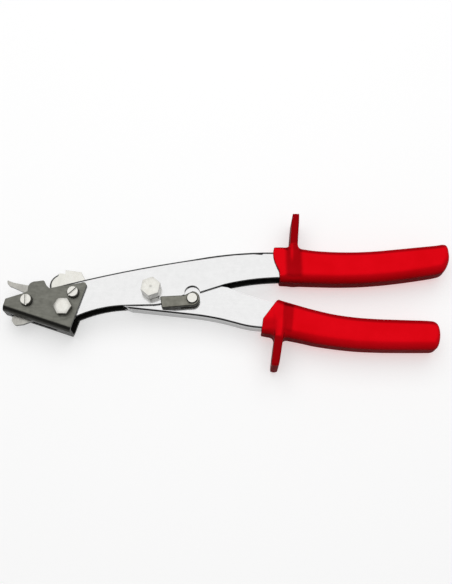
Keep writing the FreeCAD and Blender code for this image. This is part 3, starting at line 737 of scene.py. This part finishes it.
upper_outline = through([
    (68.0, 7.0), (80.8, 6.1), (89.9, 5.7), (102.6, 5.3), (115.4, 5.0), (128.1, 5.2), (140.8, 6.0),
    (153.7, 7.4), (166.5, 9.2), (178.6, 11.3), (183.2, 13.2), (185.7, 17.3), (186.5, 21.3),
    (186.3, 26.6), (185.2, 29.4), (182.6, 30.1), (177.9, 29.4), (165.2, 28.1), (152.5, 26.8),
    (139.8, 25.6), (127.2, 25.0), (114.6, 25.1), (102.1, 25.9), (94.5, 27.0), (83.2, 28.2),
    (76.3, 28.3), (68.0, 28.6)])
lower_outline = through([
    (60.0, -25.0), (67.9, -26.8), (76.0, -28.3), (85.9, -30.2), (93.9, -31.9), (101.3, -33.6),
    (113.7, -35.5), (126.0, -36.8), (138.4, -37.4), (150.7, -37.6), (168.0, -37.6),
    (173.4, -37.2), (175.9, -34.6), (176.9, -28.2), (176.3, -23.2), (174.4, -20.8),
    (171.0, -19.9), (161.7, -19.5), (149.5, -19.1), (137.3, -18.6), (125.1, -17.6),
    (112.9, -15.8), (100.7, -12.9), (88.5, -9.3), (78.5, -6.1), (60.0, 1.0)])
upper_pocket = [(60.0, 25.9), *through([(75.7, 25.9), (104.0, 24.3), (127.0, 23.1), (172.1, 25.7)]),
                *through([(172.1, 14.5), (148.0, 9.8), (122.0, 8.1), (84.0, 8.6)]), (60.0, 7.4)]
lower_pocket = [(50.0, -24.4), (70.0, -24.4), (90.0, -27.5), (111.0, -32.0), (132.0, -33.6),
                (166.1, -34.0), (166.1, -22.1), (149.0, -21.2), (117.0, -18.3), (87.7, -10.8),
                (72.8, -6.6), (50.0, 0.0)]
grip("upper_grip", upper_outline,
     left_end=((6.5, 79.9), (12.6, 79.3), (15.5, 77.9), (18.6, 76.7), (21.6, 76.0), (24.6, 75.8),
               (28.9, 76.6)),
     collar=((0.0, 84.5), (40.0, 84.5)),
     guard=((86.2, 9.0), (86.4, 20.0), (86.5, 30.0), (88.4, 48.4), (89.4, 49.9), (91.8, 49.9),
            (92.8, 48.4), (91.4, 30.0), (91.2, 20.0), (91.0, 9.0)),
     cavity=upper_pocket, half_cavity=6.42,
     under=((68.0, 7.0), (115.4, 5.0), (153.7, 7.4), (187.0, 14.0)),
     rib=(24.0, 11.0), valley_shade=(((6.0, 88.6), (30.0, 88.6)), 6.4, 0.50),
     ridge_highlight=(((6.0, 87.2), (30.0, 87.4)), 0.36, (16.0, 22.0)))
grip("lower_grip", lower_outline,
     left_end=((-30.0, 67.3), (-21.0, 68.6), (-18.4, 68.9), (-6.0, 78.6), (0.0, 83.2)),
     collar=((-30.0, 76.4), (-6.0, 77.6)),
     guard=((77.3, -10.4), (77.0, -20.0), (76.2, -27.0), (73.6, -46.0), (74.6, -48.3),
            (77.2, -48.3), (78.4, -46.0), (81.0, -30.0), (82.0, -20.0), (83.0, -12.0)),
     cavity=lower_pocket, half_cavity=4.47,
     under=((60.0, -25.0), (93.9, -31.9), (126.0, -36.8), (177.0, -37.6)),
     rib=(-22.0, -6.0), valley_shade=(((-32.0, 82.4), (-20.0, 83.8), (-8.0, 85.0)), 4.2, 0.42),
     ridge_highlight=(((-32.0, 79.6), (-6.0, 80.6)), 0.15, (-30.0, -25.0)),
     collar_shade=((80.0, 75.0), (-16.5, -21.5), 0.30))


# ---------------------------------------------------------------- stage, light, camera
def floor():
    """Pale floor under the tool."""
    bpy.ops.mesh.primitive_plane_add(size=6.0, location=(0.0, 0.0, -0.0002))
    plane = bpy.context.object
    plane.name = "floor"
    graph = Graph("pale_floor")
    graph.shade(Base_Color=(0.62, 0.62, 0.62, 1.0), Roughness=0.9, Specular_IOR_Level=0.0,
                Emission_Color=(1.0, 1.0, 1.0, 1.0), Emission_Strength=0.49)
    plane.data.materials.append(graph.material)


def softbox(name, place, target, side, watts, glossy=True):
    """Square area light aimed at a point, seen in reflections or not."""
    light = bpy.data.lights.new(name, "AREA")
    light.shape = "SQUARE"
    light.size = side
    light.energy = watts
    lamp = bpy.data.objects.new(name, light)
    lamp.location = place
    lamp.rotation_euler = (Vector(target) - Vector(place)).to_track_quat("-Z", "Y").to_euler()
    lamp.visible_camera = False
    lamp.visible_glossy = glossy
    bpy.context.scene.collection.objects.link(lamp)


def camera():
    """Camera at the photograph's viewing angle: 72 degrees up, looking along +Y."""
    middle = Vector((46.2, 0.9, MIDDLE)) * MM
    distance = 504.7 * MM
    rise = math.radians(72.0)
    data = bpy.data.cameras.new("camera")
    data.lens = 49.5
    data.sensor_width = 36.0
    data.clip_start = 0.01
    shot = bpy.data.objects.new("camera", data)
    shot.location = middle + Vector((0.0, -math.cos(rise), math.sin(rise))) * distance
    shot.rotation_euler = (math.pi / 2 - rise, 0.0, 0.0)
    bpy.context.scene.collection.objects.link(shot)
    bpy.context.scene.camera = shot


def dim_room(strength):
    """Even light from all round."""
    room = bpy.data.worlds.new("dim_room")
    room.use_nodes = True
    background = room.node_tree.nodes["Background"]
    background.inputs["Color"].default_value = (1.0, 1.0, 1.0, 1.0)
    background.inputs["Strength"].default_value = strength
    bpy.context.scene.world = room


floor()
camera()
dim_room(0.28)
softbox("overhead", place=(0.045, 0.30, 0.85), target=(0.045, 0.30, 0.0), side=1.4, watts=4.5)
softbox("ceiling_bounce", place=(0.045, 0.35, 0.90), target=(0.045, 0.0, 0.0), side=1.0, watts=2.6,
        glossy=False)
bpy.context.scene.view_settings.view_transform = "Standard"
